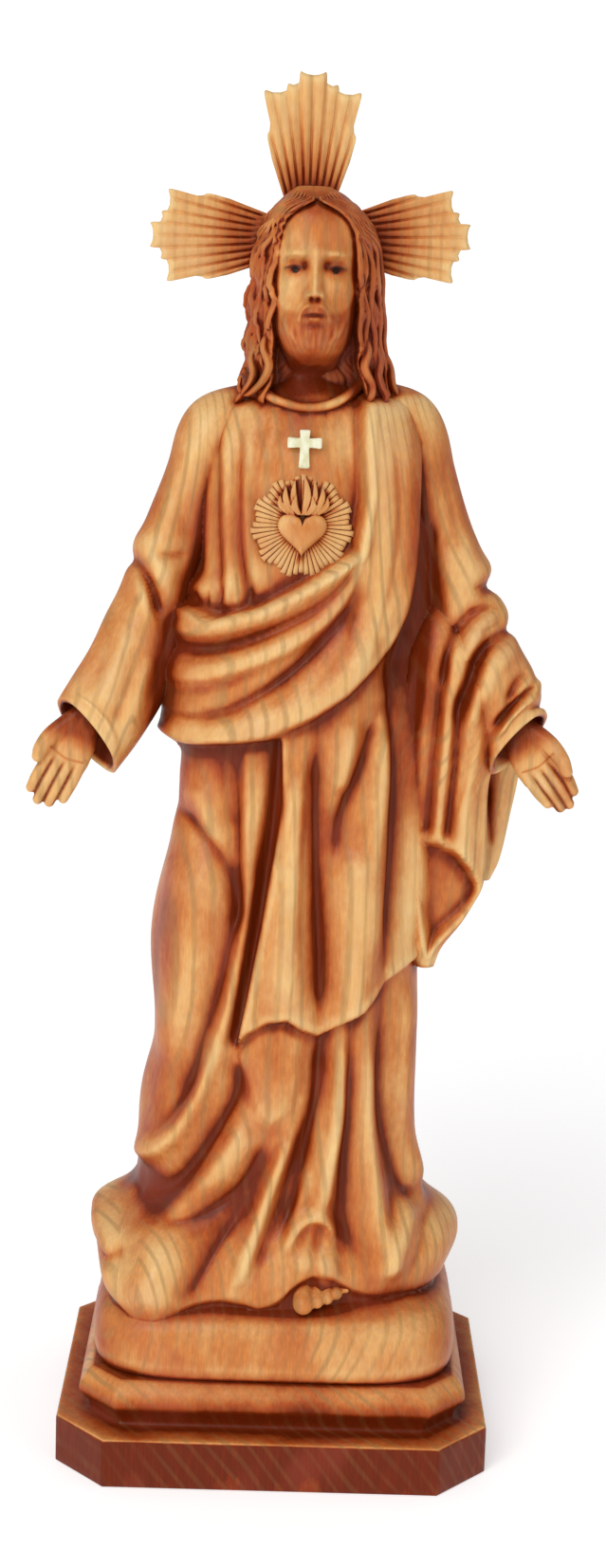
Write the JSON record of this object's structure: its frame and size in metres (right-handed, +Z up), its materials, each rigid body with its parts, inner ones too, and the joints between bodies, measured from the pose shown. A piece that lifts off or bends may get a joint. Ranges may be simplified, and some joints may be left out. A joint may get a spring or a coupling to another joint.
{
  "type": "sacred heart statue",
  "caption": "Standing robed figure with open arms, a flaming heart on the chest and ribbed ray fans round the head, on a stepped plinth with cut corners.",
  "frame": {"origin": "centre of the plinth's flat underside, which the statue stands on", "axes": "+Z up along the figure; -Y the way the figure faces; +X to a viewer's right"},
  "size_m": [0.1593, 0.101, 0.4007],
  "materials": {
    "carved_wood_look": "cast resin painted as light carved wood with brown grain lines, stained red-brown in the hollows, glossy varnish",
    "stained_wood_look": "cast resin painted as wood, dark red-brown stain on the sides and paler on the tops, glossy varnish",
    "cream_paint": "cream paint, satin"
  },
  "bodies": {
    "root": {"plinth": "stained_wood_look", "figure": "carved_wood_look", "heart_medallion": "carved_wood_look", "chest_cross": "cream_paint", "ray_fan_top": "carved_wood_look", "ray_fan_left": "carved_wood_look", "ray_fan_right": "carved_wood_look"}
  },
  "joints": []
}
